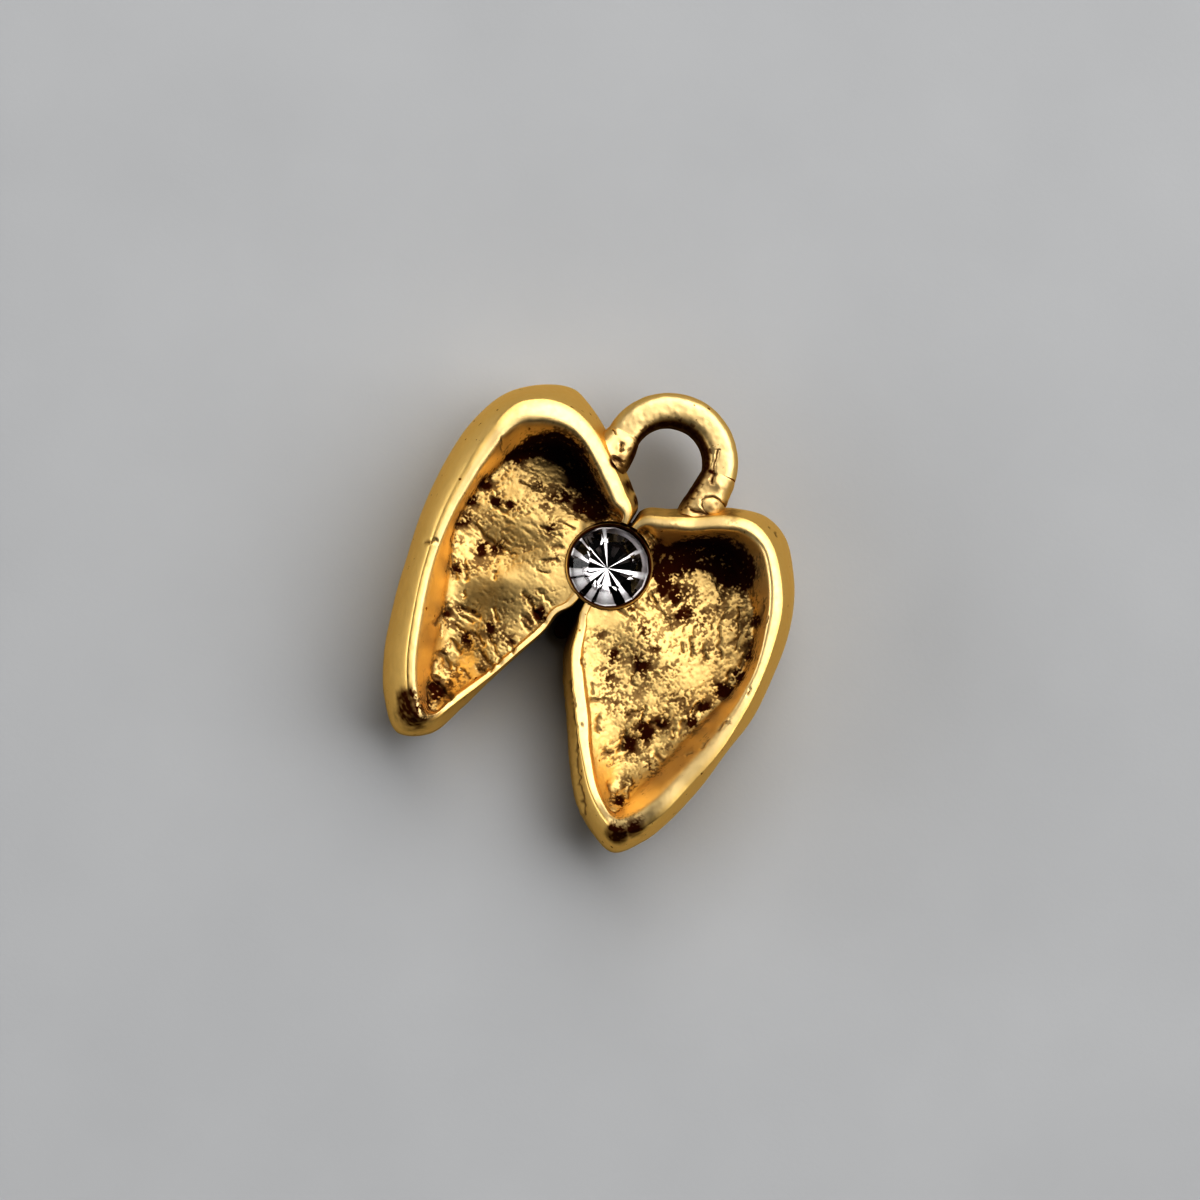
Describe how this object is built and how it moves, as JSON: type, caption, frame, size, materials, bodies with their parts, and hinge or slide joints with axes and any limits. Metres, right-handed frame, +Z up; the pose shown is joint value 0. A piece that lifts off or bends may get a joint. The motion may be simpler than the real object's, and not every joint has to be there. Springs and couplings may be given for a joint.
{
  "type": "angel wings charm",
  "caption": "Flat-backed charm shaped as sculpted angel wings with hollow, feather-grooved fronts, joined at a set crystal, with a wire hanging loop soldered across their tops.",
  "frame": {"origin": "on the surface that the charm lies on, under the middle of its bounding box", "axes": "+Z up, away from the charm's back and out through the crystal's table; +Y along the wings towards the hanging loop; +X towards the wing on the right when the loop is at the top"},
  "size_m": [0.0164, 0.0182, 0.005],
  "materials": {
    "antique_gold_plate": "cast, antique gold plated, rubbed bright on the high places and dark in the recesses",
    "gold_plated_solder": "solder under the same plating, rounded and slightly duller",
    "clear_crystal": "clear cut glass, polished facets",
    "silver_foil": "silvered foil backing",
    "clear_jewellery_cement": "cured clear cement"
  },
  "bodies": {
    "root": {"left_wing": "antique_gold_plate", "right_wing": "antique_gold_plate", "stone_seat": "antique_gold_plate", "hanging_loop": "antique_gold_plate", "left_loop_solder": "gold_plated_solder", "right_loop_solder": "gold_plated_solder", "crystal_stone": "clear_crystal", "stone_foil": "silver_foil", "stone_cement": "clear_jewellery_cement"}
  },
  "joints": []
}
